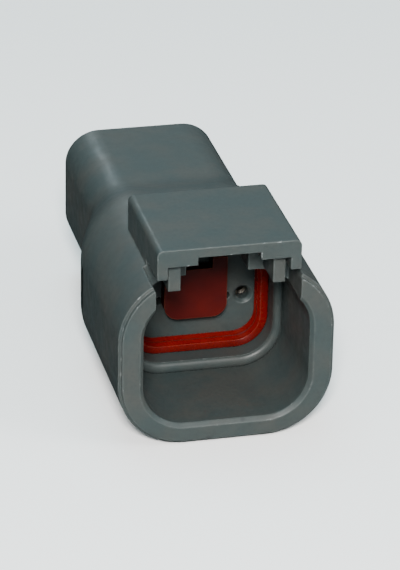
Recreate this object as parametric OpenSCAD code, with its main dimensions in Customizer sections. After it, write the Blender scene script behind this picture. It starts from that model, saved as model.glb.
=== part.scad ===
// Sealed two-way connector with a hooded mating shroud, a pull-out secondary lock and turned socket
// contacts. The mating face looks along -Y, +Z is up, and the origin is under the middle of the part.

/* [Shroud] */
// Outer width of the mating shroud
shroud_w = 20; // [18.5:0.1:24]
// Outer height of the mating shroud
shroud_h = 16.9; // [16:0.1:19]
// Radius of the shroud's long outer corners
shroud_r = 6.3; // [5:0.1:7]
// Length of the shroud from its mouth to the start of the blend
shroud_len = 17; // [16:0.1:20]
// Thickness of the shroud's side walls
side_wall = 2.3; // [1.8:0.05:2.6]
// Thickness of the shroud's floor and top wall
floor_wall = 2.05; // [1.6:0.05:2.3]
// Depth of the ledge cut round the outside of the mouth
ledge_len = 0.45; // [0.2:0.05:1]
// Width of that ledge
ledge_w = 0.3; // [0.15:0.05:0.5]
// Lead-in chamfer on the inside of the mouth
lead_in = 0.35; // [0.1:0.05:0.6]

/* [Inner cavity] */
// Depth from the mouth to the step in the cavity
step_depth = 10.2; // [9:0.1:10.8]
// Width of the step at the sides
step_side = 0.8; // [0.5:0.05:1]
// Height of the step at the floor and the top
step_floor = 1.1; // [0.8:0.05:1.3]
// Depth from the mouth to the end wall of the cavity
end_wall_depth = 14; // [13.5:0.1:14.5]
// Thickness of the end wall in front of the contacts
end_wall = 1.2; // [0.8:0.1:1.5]

/* [Hood] */
// Outer width of the latch hood
hood_w = 13.2; // [12.4:0.1:14]
// Height of the hood's top above the shroud's floor
hood_top = 19.65; // [19.2:0.05:21]
// Length of the hood
hood_len = 12.4; // [11:0.1:14]
// Radius of the hood's top corners
hood_r = 0.55; // [0.3:0.05:0.8]
// Thickness of the hood's side walls
hood_wall = 0.95; // [0.7:0.05:1.2]
// Thickness of the hood's roof over the latch channel
roof_thin = 0.9; // [0.7:0.05:1.2]
// Thickness of the hood's roof beside the channel
roof_thick = 1.65; // [1.3:0.05:1.9]
// Thickness of the wall that closes the channel at the rear
channel_end = 1; // [0.8:0.1:1.6]
// Width of the latch channel
channel_w = 5.8; // [5:0.1:6.4]
// Length of the wide slot in the shroud's top wall at the mouth
slot_len = 4.6; // [3.5:0.1:5.5]
// Gap between the hood's side walls and the shroud's top wall in that slot
slot_gap = 0.1; // [0:0.05:0.2]
// Width of each guide rib under the hood
rib_w = 1.1; // [0.8:0.05:1.3]
// Distance between the middles of the two guide ribs
rib_pitch = 9.65; // [9.2:0.05:9.9]
// Height of each guide rib below the thick roof
rib_drop = 2.8; // [1.5:0.1:2.9]
// Set-back of the guide ribs from the mouth
rib_back = 0.9; // [0.4:0.1:1.6]

/* [Wire tower] */
// Overall length of the part
total_len = 37.6; // [36.5:0.1:42]
// Outer width of the wire tower
tower_w = 15.1; // [14.6:0.1:16]
// Outer height of the wire tower
tower_h = 12; // [11.4:0.1:12.6]
// Height of the tower's underside above the shroud's underside
tower_lift = 3.35; // [3:0.05:3.6]
// Radius of the tower's long corners
tower_r = 3.4; // [2.8:0.1:4]
// Length of the blend from the shroud to the tower
blend_len = 6; // [4.5:0.1:8]
// Wall of the tower round the wire seal
tower_wall = 1.2; // [1:0.05:1.4]
// Depth of the pocket for the wire seal
pocket_len = 6.1; // [5:0.1:6.3]

/* [Contacts] */
// Distance between the two contacts
contact_pitch = 9.8; // [9.4:0.1:10]
// Height of the contacts above the shroud's underside
contact_z = 7.7; // [7.4:0.1:8.4]
// Radius of the pin that plugs into each contact
pin_r = 0.5; // [0.4:0.05:0.55]
// Radius of the pin entry in the end wall
entry_r = 0.66; // [0.6:0.02:0.75]
// Outer radius of the contact's socket
socket_r = 0.85; // [0.8:0.05:0.95]
// Outer radius of the steel sleeve over the socket
sleeve_r = 1.15; // [1.1:0.05:1.2]
// Wall of the steel sleeve
sleeve_t = 0.2; // [0.15:0.05:0.2]
// Length of the contact's socket
socket_len = 6.6; // [5:0.1:7]
// Length of the contact's shoulder
shoulder_len = 0.8; // [0.6:0.1:1]
// Length of the solid neck of the crimp barrel, in front of the wire well
neck_len = 2.2; // [1:0.1:3]
// Outer radius of the crimp barrel
crimp_r = 0.95; // [0.9:0.05:1.1]
// Radius of the wire well in the crimp barrel
wire_core_r = 0.6; // [0.4:0.05:0.7]

/* [Secondary lock] */
// Width of the lock's front plate
lock_w = 6; // [5.6:0.1:6.4]
// Height of the lock's front plate between its arms
lock_h = 5.05; // [4.6:0.05:5.4]
// Height of the plate's lower edge above the shroud's underside
lock_z = 6.3; // [6:0.1:6.6]
// Thickness of the plate
lock_t = 1.35; // [1:0.05:1.6]
// Radius of the plate's lower corners
lock_r = 1.4; // [0.8:0.1:1.8]
// Width of each arm above the plate
arm_w = 1.4; // [1:0.1:1.6]
// Width of the blade between the contacts
blade_w = 4; // [3.6:0.1:4.2]
// Height of the blade
blade_h = 3.4; // [3:0.1:3.6]
// Length of the blade behind the end wall's face
blade_len = 13; // [11.5:0.1:13.5]
// Travel of the lock from home to its service stop
lock_travel = 3; // [2:0.1:3.5]

/* [Seals] */
// Radial thickness of the cavity seal's band
band_t = 0.8; // [0.6:0.05:1]
// Height of each bead inside the band
bead_h = 0.2; // [0.1:0.05:0.25]
// Length of the cavity seal along the cavity
band_len = 2.05; // [1.6:0.05:2.2]
// Length of the wire seal
wire_seal_len = 5.2; // [4.4:0.1:5.4]
// Radius of each wire hole in the wire seal
wire_hole_r = 0.75; // [0.6:0.05:0.9]

/* [Fits] */
// Gap round a seal seated in its pocket
seal_gap = 0.04; // [0.02:0.01:0.1]
// Gap between a seated face and its seat
seat_gap = 0.05; // [0.02:0.01:0.15]
// Sliding gap round the lock's blade
slide_gap = 0.2; // [0.15:0.05:0.3]
// Gap between a contact and its cavity
contact_gap = 0.2; // [0.1:0.05:0.3]
// Gap between the crimp barrels and the pocket of the wire seal
wire_gap = 1.1; // [0.3:0.05:2]
// Gap between the lock's arms and the cavity seal
arm_gap = 0.3; // [0.15:0.05:0.6]

/* [Hidden] */
$fn = 64;
eps = 0.01;
over = 1;                                   // how far a cut runs past a face

mid_z = shroud_h / 2;
cavity_w = shroud_w - 2 * side_wall;
cavity_h = shroud_h - 2 * floor_wall;
cavity_r = shroud_r - side_wall;
inner_w = cavity_w - 2 * step_side;
inner_h = cavity_h - 2 * step_floor;
inner_r = cavity_r - step_side;
cavity_top = shroud_h - floor_wall;

tower_z = tower_lift + tower_h / 2;
blend_end = shroud_len + blend_len;
pocket_y = total_len - pocket_len;
pocket_w = tower_w - 2 * tower_wall;
pocket_h = tower_h - 2 * tower_wall;
pocket_r = tower_r - tower_wall;

cell_y = end_wall_depth + end_wall;         // front of the contact cells
cell_r = sleeve_r + contact_gap;
sleeve_y = cell_y + contact_gap;            // front of the sleeves
socket_y = sleeve_y + 2 * sleeve_t;         // front of the sockets
shoulder_y = socket_y + socket_len;
crimp_y = shoulder_y + shoulder_len;
crimp_end = pocket_y - wire_gap;            // rear of the crimp barrels
well_y = crimp_y + neck_len;                // bottom of the wire wells

seal_top = mid_z + inner_h / 2 - seal_gap - band_t - bead_h;
arm_top = seal_top - arm_gap;
blade_z = lock_z + lock_h / 2;
blade_slot_w = blade_w + 2 * slide_gap;
blade_slot_h = blade_h + 2 * slide_gap;
finger_t = 0.65;                            // thickness of a contact locking finger
finger_h = 1.8;
finger_x = contact_pitch / 2 - cell_r - finger_t;
finger_root = end_wall_depth + blade_len + slide_gap;
finger_tip = crimp_y + contact_gap;
finger_slot = 0.4;                          // moulding gap above and below a finger
nib_reach = cell_r - crimp_r - contact_gap; // how far a finger reaches over the crimp barrel
nib_len = 1.2;
release_r = 0.4;                            // tool hole beside each pin entry
entry_flare = 0.3;                          // width and depth of the lead-in of a pin entry
socket_floor = 1;                           // solid end of the socket, in front of the shoulder
pin_gap = 0.025;                            // gap round the pin in its socket
tine_slot = 0.16;                           // saw cut between the tines
tine_len = socket_len * 0.6;
sight_r = 0.25;                             // sight notch at the bottom of each wire well
hole_groove = 0.2;                          // depth of the grooves between the ribs of a wire hole
seal_rib = 0.35;                            // height of a wire seal's rib above its body
stop_len = 1;                               // nib on the blade that rides in the stop groove
stop_h = 0.5;
stop_w = 1.6;

// Rounded rectangle about the axis along Y: x is its width, y its height
module rounded(w, h, r) {
    square([w - 2 * r, h], center = true);
    square([w, h - 2 * r], center = true);
    for (sx = [-1, 1], sz = [-1, 1])
        translate([sx * (w / 2 - r), sz * (h / 2 - r)]) circle(r);
}

// Anything flat drawn in x and z, made solid from y0 to y1
module along_y(y0, y1) {
    translate([0, y1, 0]) rotate([90, 0, 0]) linear_extrude(y1 - y0) children();
}

// Rounded bar from y0 to y1 with its axis at height z
module bar(w, h, r, y0, y1, z) {
    along_y(y0, y1) translate([0, z]) rounded(w, h, r);
}

// Round bar along Y, at x and z, from y0 to y1
module rod(x, z, r, y0, y1) {
    translate([x, y0, z]) rotate([-90, 0, 0]) cylinder(r = r, h = y1 - y0);
}

// Everything is drawn from the mouth at y = 0 and then centred on the origin
module placed() {
    translate([0, -total_len / 2, 0]) children();
}

// ---- housing, outside

// Smooth step from 0 to 1
function ease(t) = t * t * (3 - 2 * t);

// One thin rounded slice of the blend, at t from 0 at the shroud to 1 at the tower
module blend_slice(t) {
    k = ease(t);
    inset = 0.02 + 0.1 * t;                 // keeps the facets just under the true faces
    w = shroud_w + (tower_w - shroud_w) * k - 2 * inset;
    h = shroud_h + (tower_h - shroud_h) * k - 2 * inset;
    r = shroud_r + (tower_r - shroud_r) * k - inset;
    z = mid_z + (tower_z - mid_z) * k;
    y = shroud_len - 0.1 + (blend_len + 0.1) * t;
    bar(w, h, r, y, y + eps, z);
}

module blend() {
    steps = 6;
    for (i = [0 : steps - 1])
        hull() {
            blend_slice(i / steps);
            blend_slice((i + 1) / steps);
        }
}

module hood_block() {
    base = mid_z;
    along_y(0, hood_len) {
        translate([-hood_w / 2, base]) square([hood_w, hood_top - hood_r - base]);
        translate([-hood_w / 2 + hood_r, base]) square([hood_w - 2 * hood_r, hood_top - base]);
        for (s = [-1, 1])
            translate([s * (hood_w / 2 - hood_r), hood_top - hood_r]) circle(hood_r, $fn = 32);
    }
}

module outer_form() {
    bar(shroud_w - 2 * ledge_w, shroud_h - 2 * ledge_w, shroud_r - ledge_w, 0, ledge_len + eps, mid_z);
    bar(shroud_w, shroud_h, shroud_r, ledge_len, shroud_len, mid_z);
    blend();
    bar(tower_w, tower_h, tower_r, shroud_len - 1, total_len, tower_z);
    hood_block();
}

// ---- housing, inside

module mating_cavity() {
    bar(cavity_w, cavity_h, cavity_r, -over, step_depth, mid_z);
    bar(inner_w, inner_h, inner_r, step_depth - eps, end_wall_depth, mid_z);
    hull() {
        bar(cavity_w + 2 * (lead_in + over), cavity_h + 2 * (lead_in + over), cavity_r + lead_in + over,
            -over, -over + eps, mid_z);
        bar(cavity_w, cavity_h, cavity_r, lead_in, lead_in + eps, mid_z);
    }
}

// Half profile of the slot at the mouth, from the middle to the right: the roof's underside, the wide
// slot below the side walls, and the bevelled tips of the shroud's top wall
module mouth_slot_profile() {
    roof_z = hood_top - roof_thick;
    half = hood_w / 2 + slot_gap;
    sill = shroud_h - slot_gap;
    tip = 0.6;
    square([hood_w / 2 - hood_wall, roof_z]);
    square([half, sill]);
    polygon([[half - eps, sill - 2 * tip], [half + tip, sill], [half - eps, sill]]);
}

module latch_channel() {
    channel_top = hood_top - roof_thin;
    along_y(-over, hood_len - channel_end)
        translate([-channel_w / 2, mid_z]) square([channel_w, channel_top - mid_z]);
    difference() {
        along_y(-over, slot_len)
            for (s = [0, 1]) mirror([s, 0])
                difference() {
                    mouth_slot_profile();
                    translate([-over, -over]) square([hood_w, mid_z + over]);
                }
        for (s = [-1, 1])
            along_y(rib_back, slot_len + over)
                translate([s * rib_pitch / 2 - rib_w / 2, hood_top - roof_thick - rib_drop])
                    square([rib_w, rib_drop + over]);
    }
}

// Mirrors its children to both contact positions
module both_sides() {
    for (s = [0, 1]) mirror([s, 0, 0]) children();
}

module contact_cell() {
    x = contact_pitch / 2;
    rod(x, contact_z, entry_r, end_wall_depth - over, cell_y + eps);
    translate([x, end_wall_depth - eps, contact_z]) rotate([-90, 0, 0])
        cylinder(r1 = entry_r + entry_flare, r2 = entry_r, h = entry_flare);
    rod(x, contact_z, cell_r, cell_y, pocket_y + eps);
    rod(finger_x + finger_t / 2, contact_z, release_r, end_wall_depth - over, cell_y + eps);
}

// Window between a contact cell and the lock's slot, around the finger
module finger_window() {
    h = finger_h + 2 * finger_slot;
    translate([0, cell_y, contact_z - h / 2])
        cube([contact_pitch / 2, finger_root - cell_y, h]);
}

module finger() {
    translate([finger_x, finger_tip, contact_z - finger_h / 2])
        cube([finger_t, finger_root - finger_tip + eps, finger_h]);
    translate([finger_x, finger_tip, contact_z - finger_h / 2])
        cube([finger_t + nib_reach, nib_len, finger_h]);
}

// Slot for the lock's blade, with the groove that its stop rides in
module lock_slot() {
    translate([-blade_slot_w / 2, end_wall_depth - over, blade_z - blade_slot_h / 2])
        cube([blade_slot_w, blade_len + over + slide_gap, blade_slot_h]);
    groove_y = stop_y() - lock_travel - slide_gap;
    translate([-stop_w / 2 - slide_gap, groove_y, blade_z + blade_h / 2])
        cube([stop_w + 2 * slide_gap, lock_travel + stop_len + 2 * slide_gap, stop_h + slide_gap]);
}

function stop_y() = cell_y + lock_travel + 2 * slide_gap;

module housing() {
    color([0.40, 0.45, 0.45]) placed()
    union() {
        difference() {
            outer_form();
            mating_cavity();
            latch_channel();
            both_sides() contact_cell();
            both_sides() finger_window();
            lock_slot();
            bar(pocket_w, pocket_h, pocket_r, pocket_y, total_len + over, tower_z);
        }
        both_sides() finger();
    }
}

// ---- seals

module cavity_seal() {
    y1 = end_wall_depth - seat_gap;
    y0 = y1 - band_len;
    bead = band_len / 4;
    w = inner_w - 2 * seal_gap;
    h = inner_h - 2 * seal_gap;
    r = inner_r - seal_gap;
    color([0.80, 0.15, 0.06]) placed()
    difference() {
        bar(w, h, r, y0, y1, mid_z);
        bar(w - 2 * band_t, h - 2 * band_t, r - band_t, y0 + bead / 2, y1 - bead / 2, mid_z);
        bar(w - 2 * (band_t + bead_h), h - 2 * (band_t + bead_h), r - band_t - bead_h,
            y0 - over, y1 + over, mid_z);
    }
}

module wire_seal() {
    y0 = pocket_y + seat_gap;
    y1 = y0 + wire_seal_len;
    ribs = 3;
    rib_step = wire_seal_len / ribs;
    w = pocket_w - 2 * seal_gap;
    h = pocket_h - 2 * seal_gap;
    r = pocket_r - seal_gap;
    color([0.80, 0.15, 0.06]) placed()
    difference() {
        union() {
            bar(w - 2 * seal_rib, h - 2 * seal_rib, r - seal_rib, y0, y1, tower_z);
            for (i = [0 : ribs - 1])
                bar(w, h, r, y0 + (i + 0.25) * rib_step, y0 + (i + 0.75) * rib_step, tower_z);
        }
        both_sides() {
            rod(contact_pitch / 2, contact_z, wire_hole_r, y0 - over, y1 + over);
            for (i = [0 : ribs])
                rod(contact_pitch / 2, contact_z, wire_hole_r + hole_groove,
                    y0 + (i - 0.2) * rib_step, y0 + (i + 0.2) * rib_step);
        }
    }
}

// ---- secondary lock

// Front plate in x and z: rounded lower corners, and an arm up each side of the notch
module lock_plate_profile() {
    half = lock_w / 2;
    translate([-half, lock_z + lock_r]) square([lock_w, lock_h - lock_r]);
    translate([-half + lock_r, lock_z]) square([lock_w - 2 * lock_r, lock_h]);
    for (s = [-1, 1]) {
        translate([s * (half - lock_r), lock_z + lock_r]) circle(lock_r);
        translate([s * (half - arm_w / 2) - arm_w / 2, lock_z + lock_h - eps])
            square([arm_w, arm_top - lock_z - lock_h + eps]);
    }
}

module secondary_lock() {
    face = end_wall_depth - seat_gap;
    color([0.80, 0.15, 0.06]) placed()
    union() {
        along_y(face - lock_t, face) lock_plate_profile();
        translate([-blade_w / 2, face - eps, blade_z - blade_h / 2])
            cube([blade_w, blade_len - seat_gap, blade_h]);
        translate([-stop_w / 2, stop_y(), blade_z + blade_h / 2 - eps])
            cube([stop_w, stop_len, stop_h]);
    }
}

// ---- contacts

// One turned socket contact with its tines, shoulder and crimp barrel
module contact() {
    difference() {
        union() {
            rod(0, 0, socket_r, socket_y, shoulder_y + eps);
            rod(0, 0, sleeve_r, shoulder_y, crimp_y);
            rod(0, 0, crimp_r, crimp_y - eps, crimp_end);
        }
        rod(0, 0, pin_r + pin_gap, socket_y - over, shoulder_y - socket_floor);
        rod(0, 0, wire_core_r, well_y, crimp_end + over);
        for (a = [0, 90]) rotate([0, a, 0])
            translate([-tine_slot / 2, socket_y - over, -over])
                cube([tine_slot, tine_len + over, 2 * over]);
        rod(0, crimp_r, sight_r, well_y, well_y + 2 * sight_r);
    }
}

module sleeve() {
    difference() {
        rod(0, 0, sleeve_r, sleeve_y, shoulder_y - seat_gap);
        rod(0, 0, sleeve_r - sleeve_t, sleeve_y - over, shoulder_y + over);
    }
}

module at_contact(side) {
    placed() translate([side * contact_pitch / 2, 0, contact_z]) children();
}

module left_contact() { color([0.82, 0.80, 0.74]) at_contact(-1) contact(); }
module right_contact() { color([0.82, 0.80, 0.74]) at_contact(1) contact(); }
module left_contact_sleeve() { color([0.72, 0.73, 0.75]) at_contact(-1) sleeve(); }
module right_contact_sleeve() { color([0.72, 0.73, 0.75]) at_contact(1) sleeve(); }

housing();
cavity_seal();
secondary_lock();
wire_seal();
left_contact();
right_contact();
left_contact_sleeve();
right_contact_sleeve();
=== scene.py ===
# %% [markdown]
# # A sealed connector and its finishes
# This lesson takes the finished solids of a small sealed connector and gives them the look of the
# real thing: satin moulded nylon, glossy red silicone and plated contacts. The solids are a fixed
# frame. Nothing here moves or resizes them, and every length is in metres. The box of the bare
# solids is kept right at the start, so that the last step can show that the size hasn't changed.

# %% Load the frame
import math

import bmesh
import bpy
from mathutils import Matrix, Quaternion, Vector


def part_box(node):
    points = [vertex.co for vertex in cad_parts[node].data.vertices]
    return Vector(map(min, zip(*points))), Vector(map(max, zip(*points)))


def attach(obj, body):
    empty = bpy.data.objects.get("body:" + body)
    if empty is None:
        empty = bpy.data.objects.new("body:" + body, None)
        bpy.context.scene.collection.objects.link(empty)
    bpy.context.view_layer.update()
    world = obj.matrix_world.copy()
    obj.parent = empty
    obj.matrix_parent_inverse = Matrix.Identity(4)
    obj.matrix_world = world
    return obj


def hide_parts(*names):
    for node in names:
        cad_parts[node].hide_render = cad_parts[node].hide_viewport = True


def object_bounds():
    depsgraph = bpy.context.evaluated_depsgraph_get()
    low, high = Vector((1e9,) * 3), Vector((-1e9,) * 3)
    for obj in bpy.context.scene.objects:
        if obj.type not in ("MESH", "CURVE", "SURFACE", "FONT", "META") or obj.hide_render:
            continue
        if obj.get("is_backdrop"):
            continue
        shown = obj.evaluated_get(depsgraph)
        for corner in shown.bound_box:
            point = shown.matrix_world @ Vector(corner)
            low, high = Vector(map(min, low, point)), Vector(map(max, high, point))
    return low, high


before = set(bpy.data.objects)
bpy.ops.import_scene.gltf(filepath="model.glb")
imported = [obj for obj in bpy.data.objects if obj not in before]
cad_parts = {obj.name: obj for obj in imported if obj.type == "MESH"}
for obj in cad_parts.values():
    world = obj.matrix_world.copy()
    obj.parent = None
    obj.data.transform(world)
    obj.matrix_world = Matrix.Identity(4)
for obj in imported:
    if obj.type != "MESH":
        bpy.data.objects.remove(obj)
cad_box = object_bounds()
MM = 0.001
print("nodes:", sorted(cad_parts))
print("box, mm:", [round((h - l) / MM, 2) for l, h in zip(*cad_box)])

# %% [markdown]
# ## The camera
# Something this small is best seen through a long lens from about 30 cm, so that the far end
# hardly shrinks. The camera stands to the left of the mouth and above it. Its place could be
# three typed coordinates. Two angles and a distance round a target inside the part are easier to
# tune, because each of them changes one thing about the view.

# %% Camera
CAMERA_LEFT = math.radians(13.78)
CAMERA_UP = math.radians(26.03)
CAMERA_ROLL = math.radians(1.13)
CAMERA_DISTANCE = 292.0 * MM
CAMERA_TARGET = Vector((0.73, -4.8, 9.01)) * MM
CAMERA_CLIP = (0.01, 10)
LENS = 196.1


def towards(left, up):
    """Unit vector from the part to something that stands left of its mouth and above it."""
    return Vector((-math.sin(left) * math.cos(up), -math.cos(left) * math.cos(up), math.sin(up)))


def add_camera():
    data = bpy.data.cameras.new("camera")
    data.lens = LENS
    data.clip_start, data.clip_end = CAMERA_CLIP
    cam = bpy.data.objects.new("camera", data)
    bpy.context.scene.collection.objects.link(cam)
    back = towards(CAMERA_LEFT, CAMERA_UP)
    cam.location = CAMERA_TARGET + back * CAMERA_DISTANCE
    aim = (-back).to_track_quat("-Z", "Y")
    cam.rotation_mode = "QUATERNION"
    cam.rotation_quaternion = aim @ Quaternion((0, 0, 1), CAMERA_ROLL)
    bpy.context.scene.camera = cam
    return cam


camera = add_camera()
print("camera at, mm:", [round(v / MM, 1) for v in camera.location])

# %% [markdown]
# ## A small kit of shader nodes
# Every finish below is built from the same few parts: noise at a chosen size, a ramp between two
# colours, a change of range, a product and a mix. They could be laid out by hand in the node
# editor. Written as functions, they turn each finish into a short recipe, with its sizes in
# millimetres.


# %% Node helpers
def new_material(name):
    """A new material with its node tree and its main shader."""
    material = bpy.data.materials.new(name)
    material.use_nodes = True
    tree = material.node_tree
    return material, tree, tree.nodes["Principled BSDF"]


def set_sockets(node, values):
    for socket, value in values.items():
        node.inputs[socket].default_value = value


def place_on_part(tree):
    """The point of the part that is being shaded, in metres."""
    return tree.nodes.new("ShaderNodeTexCoord").outputs["Object"]


def noise(tree, place, size, detail=3.0, rough=0.55):
    """Noise whose blobs are about this long."""
    node = tree.nodes.new("ShaderNodeTexNoise")
    set_sockets(node, {"Scale": 1 / size, "Detail": detail, "Roughness": rough})
    tree.links.new(place, node.inputs["Vector"])
    return node.outputs["Fac"]


def map_range(tree, source, to, where=(0.0, 1.0)):
    """The source, turned so that it runs through `to` while it goes through `where`."""
    node = tree.nodes.new("ShaderNodeMapRange")
    set_sockets(node, {"From Min": where[0], "From Max": where[1],
                       "To Min": to[0], "To Max": to[1]})
    tree.links.new(source, node.inputs["Value"])
    return node.outputs["Result"]


def patches(tree, place, size, to, where, detail=3.0, rough=0.55):
    """Soft patches of about this size."""
    return map_range(tree, noise(tree, place, size, detail, rough), to, where)


def ramp(tree, source, low, high):
    """From one colour to another, each given with the source value where it is reached."""
    node = tree.nodes.new("ShaderNodeValToRGB")
    for element, (position, colour) in zip(node.color_ramp.elements, (low, high)):
        element.position, element.color = position, colour
    tree.links.new(source, node.inputs["Fac"])
    return node.outputs["Color"]


def times(tree, a, b):
    node = tree.nodes.new("ShaderNodeMath")
    node.operation = "MULTIPLY"
    tree.links.new(a, node.inputs[0])
    tree.links.new(b, node.inputs[1])
    return node.outputs["Value"]


def mix_colour(tree, factor, a, b):
    """Colour a turned towards b by a factor. Each may be a socket or a plain value."""
    node = tree.nodes.new("ShaderNodeMix")
    node.data_type = "RGBA"
    for value, socket in zip((factor, a, b), (node.inputs[0], node.inputs[6], node.inputs[7])):
        if hasattr(value, "is_output"):
            tree.links.new(value, socket)
        else:
            socket.default_value = value
    return node.outputs[2]


print("node helpers:", [f.__name__ for f in (noise, map_range, patches, ramp, times, mix_colour)])

# %% [markdown]
# ## Rounded edges, rubbed and grained
# A mould leaves each corner with a radius of a quarter of a millimetre or less, which catches the
# light as a thin line. A bevel modifier would cut that into the mesh at the cost of many
# thousands of faces. A bevel node bends only the shading there. Wherever its normal leaves the
# plain one there is an edge, so the two together also make a mask, and edges can be rubbed
# lighter. The fine grain of the surface then goes on top, as a bump.

# %% Edge and grain helpers
BEVEL_SAMPLES = 6
EDGE_STARTS, EDGE_FULL = 0.995, 0.86


def round_edges(tree, radius):
    node = tree.nodes.new("ShaderNodeBevel")
    node.samples = BEVEL_SAMPLES
    node.inputs["Radius"].default_value = radius
    return node.outputs["Normal"]


def edge_mask(tree, rounded):
    """0 on open faces, 1 where the rounded normal has clearly left the plain one."""
    geometry = tree.nodes.new("ShaderNodeNewGeometry")
    dot = tree.nodes.new("ShaderNodeVectorMath")
    dot.operation = "DOT_PRODUCT"
    tree.links.new(rounded, dot.inputs[0])
    tree.links.new(geometry.outputs["Normal"], dot.inputs[1])
    return map_range(tree, dot.outputs["Value"], (0.0, 1.0), (EDGE_STARTS, EDGE_FULL))


def bumped(tree, height, depth, strength, normal=None):
    """The normal over a surface of this height, on top of another normal where one is given."""
    node = tree.nodes.new("ShaderNodeBump")
    set_sockets(node, {"Strength": strength, "Distance": depth})
    tree.links.new(height, node.inputs["Height"])
    if normal is not None:
        tree.links.new(normal, node.inputs["Normal"])
    return node.outputs["Normal"]


print("an edge starts to show at, degrees:", round(math.degrees(math.acos(EDGE_STARTS)), 1))

# %% [markdown]
# ## Moulded nylon
# The housing is injection moulded from filled nylon, a blue-green grey. It is satin, not glossy:
# the spark texture of the tool scatters the light, and the filler makes it faintly cloudy. A flat
# grey with a bump would look like paint. So a cool grey is clouded towards a neutral one every
# few millimetres, with a finer speckle on top. The roughness varies a little, the corners are
# rounded and rubbed, and here and there chafed to a light grey. Two small dark marks on the lower
# rim are where the tool's gate and an ejector pin touched.

# %% Nylon colours
NYLON_COOL = (0.0235, 0.0330, 0.0330, 1)
NYLON_NEUTRAL = (0.0320, 0.0355, 0.0330, 1)
NYLON_RUBBED = (0.065, 0.077, 0.075, 1)
NYLON_CHAFED = (0.30, 0.33, 0.33, 1)
NYLON_SPECK = (0.016, 0.020, 0.021, 1)
MARK_CORE = 0.4
MOULD_MARKS = [  # place, radius and strength
    ((1.6 * MM, -18.7 * MM, 2.0 * MM), 0.34 * MM, 0.9),
    ((-1.6 * MM, -18.8 * MM, 0.45 * MM), 0.30 * MM, 0.6),
]


def spot(tree, place, centre, radius, strength):
    """A round patch about a point of the part, full in its core and soft towards its radius."""
    away = tree.nodes.new("ShaderNodeVectorMath")
    away.operation = "DISTANCE"
    tree.links.new(place, away.inputs[0])
    away.inputs[1].default_value = centre
    return map_range(tree, away.outputs["Value"], (strength, 0.0), (MARK_CORE * radius, radius))


def nylon_colour(tree, place, edges):
    clouds = noise(tree, place, 4.0 * MM)
    base = ramp(tree, clouds, (0.38, NYLON_COOL), (0.64, NYLON_NEUTRAL))
    speckle = patches(tree, place, 0.35 * MM, to=(0.0, 0.45), where=(0.45, 0.8),
                      detail=2, rough=0.7)
    base = mix_colour(tree, speckle, base, NYLON_SPECK)
    wear = patches(tree, place, 1.1 * MM, to=(0.25, 0.9), where=(0.35, 0.7))
    rubbed = times(tree, edges, wear)
    base = mix_colour(tree, rubbed, base, NYLON_RUBBED)
    scuffs = patches(tree, place, 0.5 * MM, to=(0.0, 1.0), where=(0.62, 0.72), detail=2)
    base = mix_colour(tree, times(tree, rubbed, scuffs), base, NYLON_CHAFED)
    for centre, radius, strength in MOULD_MARKS:
        base = mix_colour(tree, spot(tree, place, centre, radius, strength), base, NYLON_SPECK)
    return base


print("marks of the mould, mm across:", [round(2 * mark[1] / MM, 2) for mark in MOULD_MARKS])

# %% Nylon
CORNER_RADIUS = 0.24 * MM
NYLON_SPECULAR = 0.3


def moulded_nylon():
    material, tree, shader = new_material("moulded_nylon")
    place = place_on_part(tree)
    rounded = round_edges(tree, CORNER_RADIUS)
    colour = nylon_colour(tree, place, edge_mask(tree, rounded))
    tree.links.new(colour, shader.inputs["Base Color"])
    sheen = patches(tree, place, 1.2 * MM, to=(0.40, 0.54), where=(0.3, 0.7))
    tree.links.new(sheen, shader.inputs["Roughness"])
    grain = noise(tree, place, 0.15 * MM, detail=2, rough=0.7)
    grained = bumped(tree, grain, depth=0.02 * MM, strength=0.22, normal=rounded)
    tree.links.new(grained, shader.inputs["Normal"])
    set_sockets(shader, {"Specular IOR Level": NYLON_SPECULAR})
    return material


nylon = moulded_nylon()
print("nylon:", len(nylon.node_tree.nodes), "nodes")

# %% [markdown]
# ## Silicone and the lock's red plastic
# The seals are moulded liquid silicone, oiled so that they slide, so they shine more than
# anything else here and let a little light into the red. The lock is a harder plastic of nearly
# the same red. It is duller, and its corners are rounded like the housing's. Three separate
# materials would repeat most of their nodes. One recipe makes all the reds, with its own colours,
# roughness and grain for each, and the cavity seal gets its depth and its oily coat on top. The
# two seals are the same rubber. The cavity seal's colours are darker than the wire seal's only
# as painted shade of the cavity round it.

# %% Red materials
# The reds' rounded edges are mixed towards this lighter orange, whatever the light: a painted
# highlight.
RED_EDGE_HIGHLIGHT_TINT = (1.0, 0.35, 0.2, 1)
RED_EDGE_HIGHLIGHT_SHARE = 0.08
SEAL_CORNER = 0.06 * MM
LOCK_CORNER = 0.14 * MM


def red_material(name, dark, light, roughness, corner, grain_strength):
    material, tree, shader = new_material(name)
    place = place_on_part(tree)
    base = ramp(tree, noise(tree, place, 2.5 * MM), (0.35, dark), (0.65, light))
    rounded = round_edges(tree, corner)
    # Painted highlight: every rounded edge is turned lighter and more orange.
    lighter = mix_colour(tree, RED_EDGE_HIGHLIGHT_SHARE, light, RED_EDGE_HIGHLIGHT_TINT)
    base = mix_colour(tree, edge_mask(tree, rounded), base, lighter)
    tree.links.new(base, shader.inputs["Base Color"])
    sheen = patches(tree, place, 0.9 * MM, to=roughness, where=(0.3, 0.7))
    tree.links.new(sheen, shader.inputs["Roughness"])
    grain = noise(tree, place, 0.25 * MM, detail=2, rough=0.6)
    grained = bumped(tree, grain, depth=0.02 * MM, strength=grain_strength, normal=rounded)
    tree.links.new(grained, shader.inputs["Normal"])
    return material, shader


# Painted shade: these colours are a darker copy of the wire seal's rubber, standing in for the
# shade in the cavity.
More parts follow.
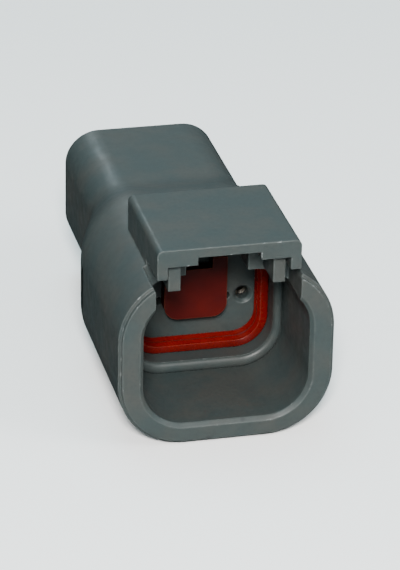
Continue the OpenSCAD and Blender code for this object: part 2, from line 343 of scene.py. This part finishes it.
silicone, painted_shade_seal_shader = red_material(
    "red_silicone_painted_shade", dark=(0.074, 0.0018, 0.0011, 1), light=(0.092, 0.0024, 0.0014, 1),
    roughness=(0.22, 0.34), corner=SEAL_CORNER, grain_strength=0.03)
set_sockets(painted_shade_seal_shader, {
    "Subsurface Weight": 0.12,
    "Subsurface Radius": (0.9 * MM, 0.2 * MM, 0.1 * MM),
    "Subsurface Scale": 1.0,
    "Coat Weight": 0.3,
    "Coat Roughness": 0.12,
    "Specular IOR Level": 0.25,
})
lock_plastic, lock_shader = red_material(
    "red_lock_plastic", dark=(0.036, 0.0013, 0.0010, 1), light=(0.049, 0.0019, 0.0013, 1),
    roughness=(0.40, 0.54), corner=LOCK_CORNER, grain_strength=0.14)
set_sockets(lock_shader, {"Specular IOR Level": 0.15})
wire_silicone, _ = red_material(
    "wire_seal_silicone", dark=(0.19, 0.0075, 0.0026, 1), light=(0.26, 0.011, 0.0036, 1),
    roughness=(0.26, 0.40), corner=SEAL_CORNER, grain_strength=0.08)
print("red finishes:", [m.name for m in (silicone, lock_plastic, wire_silicone)])

# %% [markdown]
# ## Plated contacts
# The contacts are turned on a lathe and plated, and the sleeves over them are drawn from steel.
# Turning leaves fine rings round the axis, which runs along y, and drawing leaves lines along it.
# A wave texture would give rings too, but all alike. Noise squeezed hard along one axis makes
# marks of uneven strength, like a real tool's.

# %% Metals
TOOL_MARK = 0.5 * MM
DULL_SHARE = 0.75
ROUGHNESS_SPREAD = 0.14


def metal(name, colour, rough, squeeze):
    """A metal with tool marks. squeeze is how much finer they are along x, y and z."""
    material, tree, shader = new_material(name)
    stretch = tree.nodes.new("ShaderNodeMapping")
    stretch.inputs["Scale"].default_value = squeeze
    tree.links.new(place_on_part(tree), stretch.inputs["Vector"])
    marks = noise(tree, stretch.outputs["Vector"], TOOL_MARK, rough=0.5)
    dull = tuple(DULL_SHARE * c for c in colour)
    tint = ramp(tree, marks, (0.3, (*dull, 1)), (0.7, (*colour, 1)))
    tree.links.new(tint, shader.inputs["Base Color"])
    sheen = map_range(tree, marks, (rough, rough + ROUGHNESS_SPREAD))
    tree.links.new(sheen, shader.inputs["Roughness"])
    grooved = bumped(tree, marks, depth=0.01 * MM, strength=0.3)
    tree.links.new(grooved, shader.inputs["Normal"])
    set_sockets(shader, {"Metallic": 1.0})
    return material


plating = metal("contact_plating", (0.46, 0.42, 0.35), rough=0.30, squeeze=(0.2, 6.0, 0.2))
steel = metal("sleeve_steel", (0.38, 0.39, 0.41), rough=0.28, squeeze=(3.0, 0.3, 3.0))
print("metals:", plating.name, steel.name)

# %% [markdown]
# ## Finishes on the solids
# The rigid solids already have their real shapes, so they stay and only change their finish. That
# could go on a copy of each, but assigning it to the solid's own mesh leaves one object per
# piece. The two seals are left out, because they are made again below.

# %% Finishes on the solids
FINISHES = {
    "housing": nylon, "secondary_lock": lock_plastic,
    "left_contact": plating, "right_contact": plating,
    "left_contact_sleeve": steel, "right_contact_sleeve": steel,
}
for node_name, finish in FINISHES.items():
    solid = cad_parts[node_name].data
    solid.materials.clear()
    solid.materials.append(finish)
print("finishes on", len(FINISHES), "nodes")

# %% [markdown]
# ## Loops and rings
# The forms made below all run round a rounded rectangle, and the rubber ones are all soft ridges.
# Sculpting or a cloth simulation would blur ridges as small as these. Here the outline is a loop
# of points, each with the direction that points outwards. A ring is that loop at one depth, and
# faces bridge one ring to the next, which keeps every ridge exact and the faces few.


# %% Sweep helpers
def rounded_loop(width, height, radius, centre, corner_steps=18):
    """Points round a rounded rectangle in x and z, each with the direction that points outwards."""
    loop = []
    for sx, sz, start in ((1, 1, 0), (-1, 1, 90), (-1, -1, 180), (1, -1, 270)):
        corner = Vector((centre.x + sx * (width / 2 - radius), 0,
                         centre.z + sz * (height / 2 - radius)))
        for i in range(corner_steps + 1):
            angle = math.radians(start + 90 * i / corner_steps)
            out = Vector((math.cos(angle), 0, math.sin(angle)))
            loop.append((corner + out * radius, out))
    return loop


def ring_of(bm, loop, depth, y):
    """The loop's points as vertices at y, moved inwards by the depth."""
    return [bm.verts.new((p.x - out.x * depth, y, p.z - out.z * depth)) for p, out in loop]


def bridge(bm, a, b):
    for i in range(len(a)):
        j = (i + 1) % len(a)
        bm.faces.new((a[i], a[j], b[j], b[i]))


def bridge_all(bm, rings):
    for a, b in zip(rings, rings[1:]):
        bridge(bm, a, b)


def sweep(bm, loop, section):
    """Faces through the section's (depth, y) points, swept round the loop. Returns the rings."""
    rings = [ring_of(bm, loop, depth, y) for depth, y in section]
    bridge_all(bm, rings)
    return rings


print("points round a loop:", len(rounded_loop(2, 2, 0.5, Vector())))

# %% [markdown]
# ## From mesh to piece
# Each mesh made below becomes an object in the same way, so it is written once. The faces are
# turned outwards and shaded smooth, except across a crease sharper than a given angle, and the
# mesh gets its finish. A seal then takes the place of its plain stand-in, and a form on the
# housing moves with it.

# %% Piece helpers
SEAL_CREASE = math.radians(50)


def finished_object(name, bm, material, crease=None):
    bmesh.ops.recalc_face_normals(bm, faces=bm.faces)
    mesh = bpy.data.meshes.new(name)
    bm.to_mesh(mesh)
    bm.free()
    mesh.shade_smooth()
    if crease is not None:
        mesh.set_sharp_from_angle(angle=crease)
    mesh.materials.append(material)
    piece = bpy.data.objects.new(name, mesh)
    bpy.context.scene.collection.objects.link(piece)
    return piece


def seal_piece(name, bm, stand_in, material):
    piece = finished_object(name, bm, material, SEAL_CREASE)
    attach(piece, "housing_body")
    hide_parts(stand_in)
    return piece


def housing_piece(name, bm):
    piece = finished_object(name, bm, nylon)
    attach(piece, "housing_body")
    return piece


print("piece helpers:", [f.__name__ for f in (finished_object, seal_piece, housing_piece)])

# %% [markdown]
# ## Cavity seal
# The seal at the bottom of the cavity grips the nose of the mating half with two beads, so its
# inner face rises and falls twice along the cavity. Its ends are flat, as they lie against the
# housing. A bent strip would thicken in the corners. The sweep keeps one section all the way
# round, and a sine squared gives beads that rise from the body without a crease.

# %% Cavity seal
CAVITY_SEAL_RADIUS = 3.16 * MM
SEAL_BODY = 0.76 * MM
SEAL_BEAD = 0.24 * MM
SEAL_EDGE = 0.12 * MM
BEAD_STEPS = 28


def cavity_seal():
    low, high = (Vector(v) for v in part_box("cavity_seal"))
    loop = rounded_loop(high.x - low.x, high.z - low.z, CAVITY_SEAL_RADIUS, (low + high) / 2)
    section = [(SEAL_EDGE, low.y), (0, low.y + SEAL_EDGE),
               (0, high.y - SEAL_EDGE), (SEAL_EDGE, high.y)]
    for i in range(BEAD_STEPS + 1):
        t = 1 - i / BEAD_STEPS
        section.append((SEAL_BODY + SEAL_BEAD * math.sin(2 * math.pi * t) ** 2,
                        low.y + (high.y - low.y) * t))
    bm = bmesh.new()
    rings = sweep(bm, loop, section)
    bridge(bm, rings[-1], rings[0])
    return seal_piece("cavity_seal_ring", bm, "cavity_seal", silicone)


cavity_ring = cavity_seal()
print("cavity seal:", len(cavity_ring.data.polygons), "faces")

# %% [markdown]
# ## Wire seal
# The seal behind the contacts has three ridges outside, which press on the pocket, and three
# inside each hole, which press on the wire. Its rear face shows in the tower's open end, with the
# two holes that widen towards it. Holes cut with a boolean would leave long thin faces across the
# ridges. Here the outside and both holes are swept walls, and each flat end is filled between
# their last rings.

# %% Wire seal
WIRE_SEAL_RADIUS = 2.16 * MM
WIRE_SEAL_RIDGE = 0.35 * MM
WIRE_HOLE = 0.75 * MM
WIRE_HOLE_GROOVE = 0.2 * MM
WIRE_HOLE_X, WIRE_HOLE_Z = 4.9 * MM, 7.7 * MM
RIDGES, RIDGE_STEPS, HOLE_STEPS = 3, 42, 32


def hole_loop(x, z):
    """Directions round a hole at x and z, with the hole's centre as the point."""
    angles = [2 * math.pi * i / HOLE_STEPS for i in range(HOLE_STEPS)]
    return [(Vector((x, 0, z)), -Vector((math.cos(a), 0, math.sin(a)))) for a in angles]


def loop_edges(bm, ring):
    return [bm.edges.get((ring[i], ring[(i + 1) % len(ring)])) for i in range(len(ring))]


def ridge_wave(low, high):
    """How deep the dips between the ridges are, from 0 to 1, at each y from low to high."""
    wave = []
    for i in range(RIDGE_STEPS + 1):
        dip = 0.5 + 0.5 * math.cos(2 * math.pi * RIDGES * i / RIDGE_STEPS)
        wave.append((dip, low + (high - low) * (i / RIDGE_STEPS)))
    return wave


def wire_seal():
    low, high = (Vector(v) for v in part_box("wire_seal"))
    wave = ridge_wave(low.y, high.y)
    outer = [(WIRE_SEAL_RIDGE + SEAL_EDGE, low.y), (WIRE_SEAL_RIDGE, low.y + SEAL_EDGE)]
    outer += [(WIRE_SEAL_RIDGE * dip, y) for dip, y in wave[1:-1]]
    outer += [(WIRE_SEAL_RIDGE, high.y - SEAL_EDGE), (WIRE_SEAL_RIDGE + SEAL_EDGE, high.y)]
    bore = [(WIRE_HOLE + WIRE_HOLE_GROOVE * dip, y) for dip, y in wave]
    loop = rounded_loop(high.x - low.x, high.z - low.z, WIRE_SEAL_RADIUS, (low + high) / 2)
    bm = bmesh.new()
    walls = [sweep(bm, loop, outer)]
    for x in (-WIRE_HOLE_X, WIRE_HOLE_X):
        walls.append(sweep(bm, hole_loop(x, WIRE_HOLE_Z), bore))
    for end in (0, -1):
        edges = [edge for wall in walls for edge in loop_edges(bm, wall[end])]
        bmesh.ops.triangle_fill(bm, use_beauty=True, edges=edges)
    return seal_piece("wire_seal_grommet", bm, "wire_seal", wire_silicone)


wire_grommet = wire_seal()
print("wire seal:", len(wire_grommet.data.polygons), "faces")

# %% [markdown]
# ## The blend behind the shroud
# Behind the hood the shroud flows into the narrower tower in one soft S. The solid has a shorter
# S in six straight slices, drawn a hair inside the true surface. Subdividing those slices would
# bunch their corners. This skin over them is a loft of many rounded rectangles between the two
# outlines, along a curve that starts and ends level, which shades evenly. It begins a little way
# forward on the shroud and a few thousandths proud, so that the slices' first edge doesn't show.
# Its sides and underside are held inside the box of the solids. That is a fault to learn from: the
# flat parts of its front strip then lie exactly on the housing, and two surfaces in one place
# render as a short black line on each side. Without the strip there is only a hairline seam.

# %% Blend skin
SHROUD_MIDDLE = 8.45 * MM
SHROUD_OUTLINE = (20.0 * MM, 16.9 * MM, 6.3 * MM, SHROUD_MIDDLE)  # width, height, corner, middle
TOWER_OUTLINE = (15.1 * MM, 12.0 * MM, 3.4 * MM, 9.35 * MM)
BLEND_FROM_MOUTH = 17.0 * MM
BLEND_LAP = 0.5 * MM
BLEND_PROUD = 0.004 * MM
BLEND_LENGTH = 8.4 * MM
BLEND_STEPS = 30
BLEND_CORNER_STEPS = 22


def blend_ring(bm, t, y):
    """The outline a share t of the way from the shroud to the tower, as a ring at y."""
    level = t * t * (3 - 2 * t)
    width, height, radius, middle = (
        a + (b - a) * level for a, b in zip(SHROUD_OUTLINE, TOWER_OUTLINE))
    loop = rounded_loop(width, height, radius, Vector((0, 0, middle)), BLEND_CORNER_STEPS)
    return ring_of(bm, loop, -BLEND_PROUD, y)


def blend_skin():
    start = cad_box[0].y + BLEND_FROM_MOUTH
    bm = bmesh.new()
    rings = [blend_ring(bm, 0, start - BLEND_LAP)]
    for i in range(BLEND_STEPS + 1):
        t = i / BLEND_STEPS
        rings.append(blend_ring(bm, t, start + BLEND_LENGTH * t))
    for vert in bm.verts:
        vert.co.x = min(max(vert.co.x, cad_box[0].x), cad_box[1].x)
        vert.co.z = max(vert.co.z, cad_box[0].z)
    bridge_all(bm, rings)
    return housing_piece("blend_skin", bm)


skin = blend_skin()
print("blend skin:", len(skin.data.polygons), "faces")

# %% [markdown]
# ## The lip of the step
# Towards the bottom of the cavity its walls step inwards. The step's front edge is well rounded
# on the real moulding, and faces the light as a bright band round the cavity. A bevel there would
# have to cut the solid. So a half-round is laid on the face of the step, from the cavity's
# outline to the smaller one behind it. The step is wider at the floor than at the sides, so the
# section is drawn between the two outlines instead of offset from one.

# %% Step lip
CAVITY_OUTLINE = (15.4 * MM, 12.8 * MM, 4.0 * MM)  # width, height, corner
INNER_OUTLINE = (13.8 * MM, 10.6 * MM, 3.2 * MM)
STEP_FROM_MOUTH = 10.2 * MM
LIP_BULGE = 0.34 * MM
LIP_STEPS = 12


def step_lip():
    step_y = cad_box[0].y + STEP_FROM_MOUTH
    centre = Vector((0, 0, SHROUD_MIDDLE))
    outer = rounded_loop(*CAVITY_OUTLINE, centre)
    inner = rounded_loop(*INNER_OUTLINE, centre)
    bm = bmesh.new()
    rings = []
    for i in range(LIP_STEPS + 1):
        angle = math.pi * i / LIP_STEPS
        share = (1 - math.cos(angle)) / 2
        y = step_y - LIP_BULGE * math.sin(angle)
        rings.append([bm.verts.new((a.x + (b.x - a.x) * share, y, a.z + (b.z - a.z) * share))
                      for (a, _), (b, _) in zip(outer, inner)])
    bridge_all(bm, rings)
    return housing_piece("step_lip", bm)


lip = step_lip()
print("step lip:", len(lip.data.polygons), "faces")

# %% [markdown]
# ## The floor
# The part rests on a pale floor. A flat plane would end in a horizon, so this one curves up all
# round like a shallow bowl, and every side view has the same plain ground. The part's sides would
# mirror so pale a floor and turn white where they are seen edge-on. So the floor lights the part,
# but doesn't show in its gloss.

# %% Floor
FLOOR_FLAT = 1.2
FLOOR_BEND = 0.35
FLOOR_TILT = math.radians(70)
FLOOR_FLARE = 0.1
FLOOR_TOP = 0.45
FLOOR_BEND_STEPS, FLOOR_SPOKES = 10, 48
FLOOR_PALE = (0.92, 0.92, 0.92, 1)


def floor_profile():
    """Radius and height, from the edge of the flat middle to the top of the rim."""
    profile = [(FLOOR_FLAT, 0.0)]
    for i in range(1, FLOOR_BEND_STEPS + 1):
        a = FLOOR_TILT * i / FLOOR_BEND_STEPS
        profile.append((FLOOR_FLAT + FLOOR_BEND * math.sin(a), FLOOR_BEND * (1 - math.cos(a))))
    profile.append((profile[-1][0] + FLOOR_FLARE, FLOOR_TOP))
    return profile


def add_floor():
    floor_z = cad_box[0].z
    angles = [2 * math.pi * i / FLOOR_SPOKES for i in range(FLOOR_SPOKES)]
    bm = bmesh.new()
    centre = bm.verts.new((0, 0, floor_z))
    rings = [[bm.verts.new((r * math.cos(a), r * math.sin(a), floor_z + z)) for a in angles]
             for r, z in floor_profile()]
    for i in range(FLOOR_SPOKES):
        bm.faces.new((centre, rings[0][i], rings[0][(i + 1) % FLOOR_SPOKES]))
    bridge_all(bm, rings)
    material, _, shader = new_material("floor")
    set_sockets(shader, {"Base Color": FLOOR_PALE, "Roughness": 0.9, "Specular IOR Level": 0.2})
    obj = finished_object("floor", bm, material)
    obj.visible_glossy = False
    obj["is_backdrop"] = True
    return obj


floor = add_floor()
print("floor at, mm:", round(floor.data.vertices[0].co.z / MM, 3))

# %% [markdown]
# ## The lights
# A sun lamp would draw hard shadows, so all four lights are soft discs. The key stands above the
# camera: it makes the front faces the lightest and leaves the left sides and the depth of the
# cavity dark. A weak one far to the right opens the shadows there. A cool one overhead cools the
# tops. A small one low behind draws only the soft stripe along the tower's upper left edge: it is
# kept out of the diffuse light, so that it shows as gloss and nothing else.


# %% Lights
def add_light(name, left, up, distance, size, watts, colour):
    data = bpy.data.lights.new(name, "AREA")
    data.shape, data.size, data.energy, data.color = "DISK", size, watts, colour
    obj = bpy.data.objects.new(name, data)
    bpy.context.scene.collection.objects.link(obj)
    direction = towards(math.radians(left), math.radians(up))
    obj.location = direction * distance
    obj.rotation_mode = "QUATERNION"
    obj.rotation_quaternion = (-direction).to_track_quat("-Z", "Y")
    return obj


key = add_light("key", left=14, up=35.5, distance=0.50, size=0.10, watts=6.5,
                colour=(1.0, 0.97, 0.94))
side = add_light("side", left=-55, up=34, distance=0.60, size=0.30, watts=1.6,
                 colour=(1.0, 0.98, 0.96))
above = add_light("above", left=175, up=76, distance=0.55, size=0.34, watts=1.0,
                  colour=(0.40, 0.88, 1.0))
stripe = add_light("stripe", left=174, up=28, distance=0.50, size=0.08, watts=0.26,
                   colour=(0.80, 0.95, 1.0))
stripe.visible_diffuse = False
print("lights, watts:", {o.name: round(o.data.energy, 2) for o in (key, side, above, stripe)})

# %% [markdown]
# ## The surroundings
# What stands round a glossy part shows in it. One even grey would leave its steep sides as bright
# as its top. More lamps could mend that. Two colours are enough for plain plastic: a cool pale
# sky that darkens towards the ground, with a soft change about the horizon.

# %% Surroundings
SKY = (0.53, 0.64, 0.67, 1)
GROUND = (0.03, 0.03, 0.03, 1)
HORIZON = (-0.05, 0.35)


def add_surroundings():
    world = bpy.data.worlds.new("studio")
    world.use_nodes = True
    tree = world.node_tree
    direction = tree.nodes.new("ShaderNodeTexCoord").outputs["Generated"]
    split = tree.nodes.new("ShaderNodeSeparateXYZ")
    tree.links.new(direction, split.inputs["Vector"])
    height = map_range(tree, split.outputs["Z"], (0.0, 1.0), HORIZON)
    colour = mix_colour(tree, height, GROUND, SKY)
    tree.links.new(colour, tree.nodes["Background"].inputs["Color"])
    bpy.context.scene.world = world
    return world


surroundings = add_surroundings()
print("surroundings:", surroundings.name, len(surroundings.node_tree.nodes), "nodes")

# %% [markdown]
# ## Check the size and finish
# The finished part has to keep the size of its solids. A look at the render would miss a skin
# that stands a hair proud, so both boxes are measured and how far the part grows past them is
# printed.

# %% Finish
cad_low, cad_high = cad_box
low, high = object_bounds()
growth = [max(a - b, d - c) / MM for a, b, c, d in zip(cad_low, low, cad_high, high)]
print("grown by, mm:", [round(g, 3) for g in growth])
